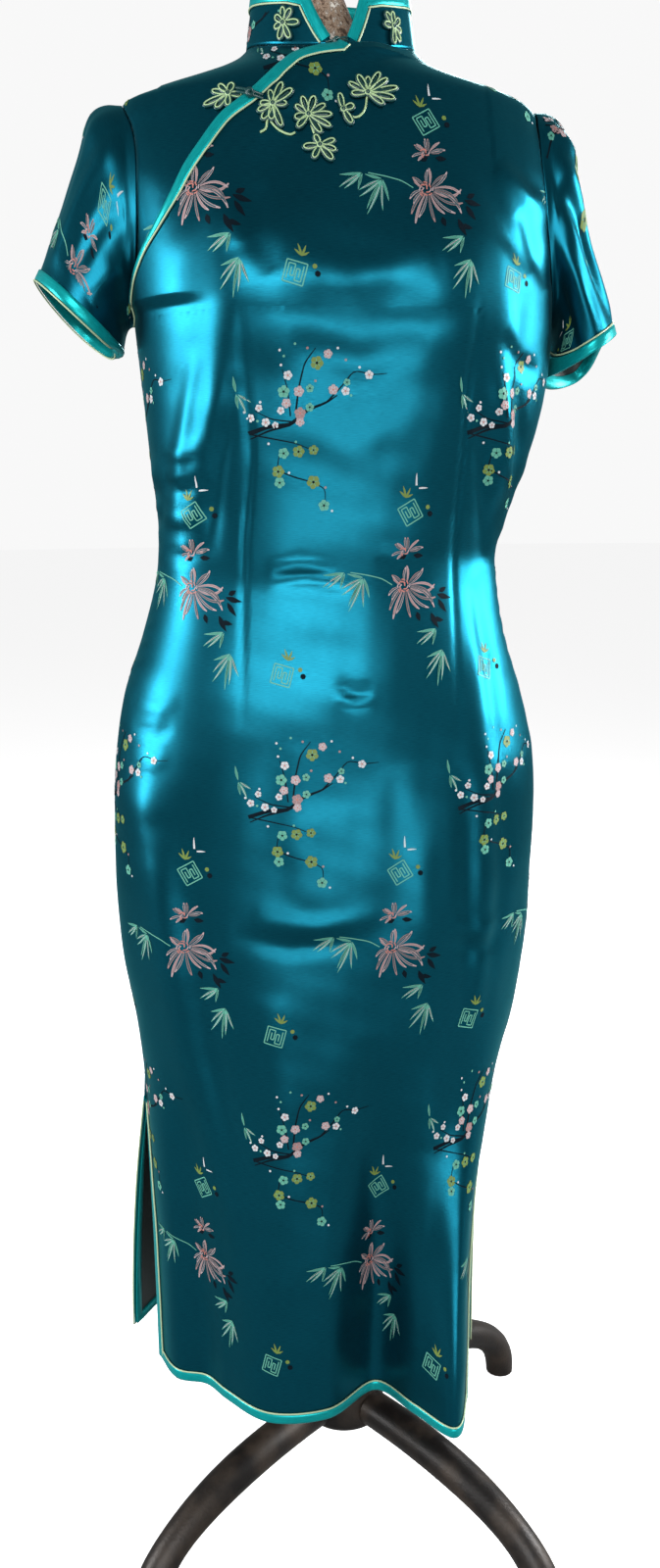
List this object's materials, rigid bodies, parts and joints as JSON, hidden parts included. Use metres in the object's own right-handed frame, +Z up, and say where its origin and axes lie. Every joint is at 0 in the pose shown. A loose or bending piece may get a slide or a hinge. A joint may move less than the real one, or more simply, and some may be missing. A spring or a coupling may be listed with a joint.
{
  "type": "cheongsam dress on a dress form",
  "caption": "Fitted mandarin-collar satin brocade dress with short sleeves, a side-closing flap, corded frogs and side slits, worn on a limbless dress form on an arched iron stand.",
  "frame": {"origin": "on the floor, on the axis of the stand's pole, in the middle of the feet", "axes": "+Z up, -Y towards the front of the dress, +X towards the wearer's left side"},
  "size_m": [0.4565, 0.39, 1.34],
  "materials": {
    "satin": "glossy satin brocade",
    "binding": "glossy satin bias strip",
    "piping": "pale corded piping",
    "frog_cord": "satin cord edged with light gold-green",
    "form_skin": "aged speckled cover",
    "iron": "worn dark paint"
  },
  "bodies": {
    "root": {"front_panel": "satin", "under_front": "satin", "back_panel": "satin", "collar": "satin", "sleeve_left": "satin", "sleeve_right": "satin", "binding_front": "binding", "binding_back": "binding", "binding_flap": "binding", "binding_collar": "binding", "binding_cuff_left": "binding", "binding_cuff_right": "binding", "frog_knot": "binding", "piping_front": "piping", "piping_back": "piping", "piping_flap": "piping", "piping_collar": "piping", "piping_cuff_left": "piping", "piping_cuff_right": "piping", "frog_chest_under": "frog_cord", "frog_chest_flower_a": "frog_cord", "frog_chest_flower_b": "frog_cord", "frog_chest_sprig": "frog_cord", "frog_chest_leaf": "frog_cord", "frog_chest_mum": "frog_cord", "frog_collar_left": "frog_cord", "frog_collar_right": "frog_cord", "form_body": "form_skin", "form_plate": "iron", "stand_pole": "iron", "stand_hub": "iron", "leg_front_left": "iron", "leg_back_left": "iron", "leg_back_right": "iron", "leg_front_right": "iron"}
  },
  "joints": []
}
